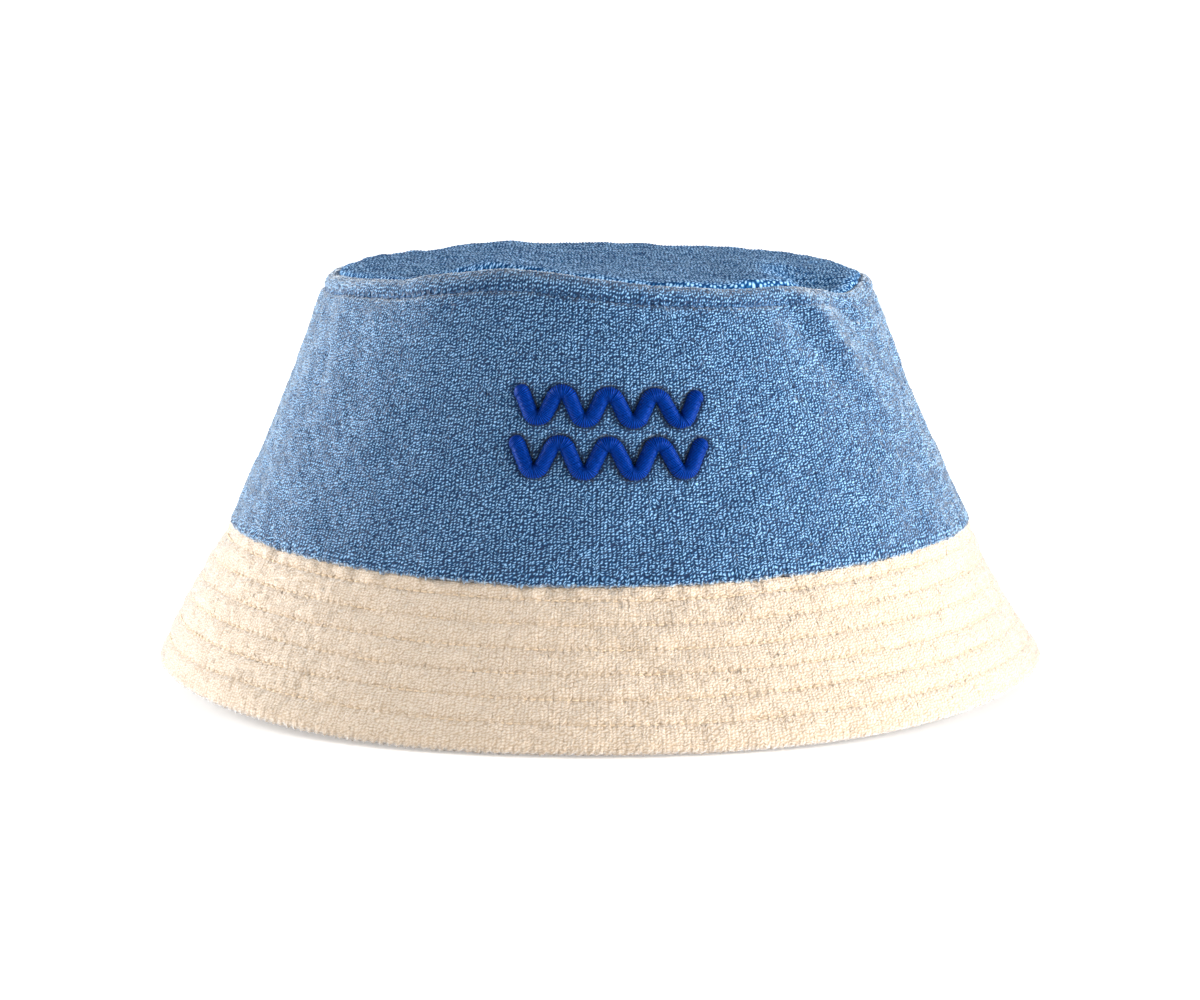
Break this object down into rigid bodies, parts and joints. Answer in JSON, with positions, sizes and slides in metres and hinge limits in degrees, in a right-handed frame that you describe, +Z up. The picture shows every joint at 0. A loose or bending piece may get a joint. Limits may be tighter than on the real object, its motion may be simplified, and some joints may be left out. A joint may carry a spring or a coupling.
{
  "type": "bucket hat",
  "caption": "Soft terry bucket hat with an oval flat top, sloping crown, quilted flared brim and a raised wave motif on the front.",
  "frame": {"origin": "on the table under the middle of the crown, level with the brim's lowest edge", "axes": "+X to the wearer's left side (side to side), -Y out of the front with the motif, +Z up through the flat top"},
  "size_m": [0.273, 0.21, 0.1295],
  "materials": {
    "crown_terry": "blue looped terry towelling, matt",
    "brim_terry": "warm ivory looped terry towelling, matt",
    "interlining": "stiff white nonwoven",
    "cotton_tape": "plain cotton binding tape",
    "sweatband_cotton": "cream cotton twill",
    "crown_thread": "blue polyester sewing thread",
    "brim_thread": "cream polyester sewing thread",
    "satin_thread": "royal blue rayon embroidery thread, glossy",
    "puff_foam": "thin blue embroidery foam",
    "stabiliser": "white tear-away nonwoven",
    "label_satin": "blank white woven label tape"
  },
  "bodies": {
    "hat": {"crown_top_panel": "crown_terry", "crown_front_panel": "crown_terry", "crown_back_panel": "crown_terry", "tip_seam_tape": "cotton_tape", "side_seam_tape_left": "cotton_tape", "side_seam_tape_right": "cotton_tape", "sweatband": "sweatband_cotton", "sweatband_stitching": "brim_thread", "brim_upper_front": "brim_terry", "brim_upper_back": "brim_terry", "brim_interlining_front": "interlining", "brim_interlining_back": "interlining", "brim_lower_front": "brim_terry", "brim_lower_back": "brim_terry", "brim_stitch_row_1": "brim_thread", "brim_stitch_row_2": "brim_thread", "brim_stitch_row_3": "brim_thread", "brim_stitch_row_4": "brim_thread", "brim_stitch_row_5": "brim_thread", "brim_stitch_row_6": "brim_thread", "tip_topstitching": "crown_thread", "motif_wave_upper": "satin_thread", "motif_wave_lower": "satin_thread", "motif_foam_upper": "puff_foam", "motif_foam_lower": "puff_foam", "embroidery_backing": "stabiliser"},
    "label": {"care_label": "label_satin"}
  },
  "joints": [
    {"name": "care_label_swing", "type": "hinge", "parent": "hat", "child": "label", "pos_m": [0, 0.07663, 0.0733], "axis": [-1, 0, 0], "range_deg": [0, 150]}
  ]
}
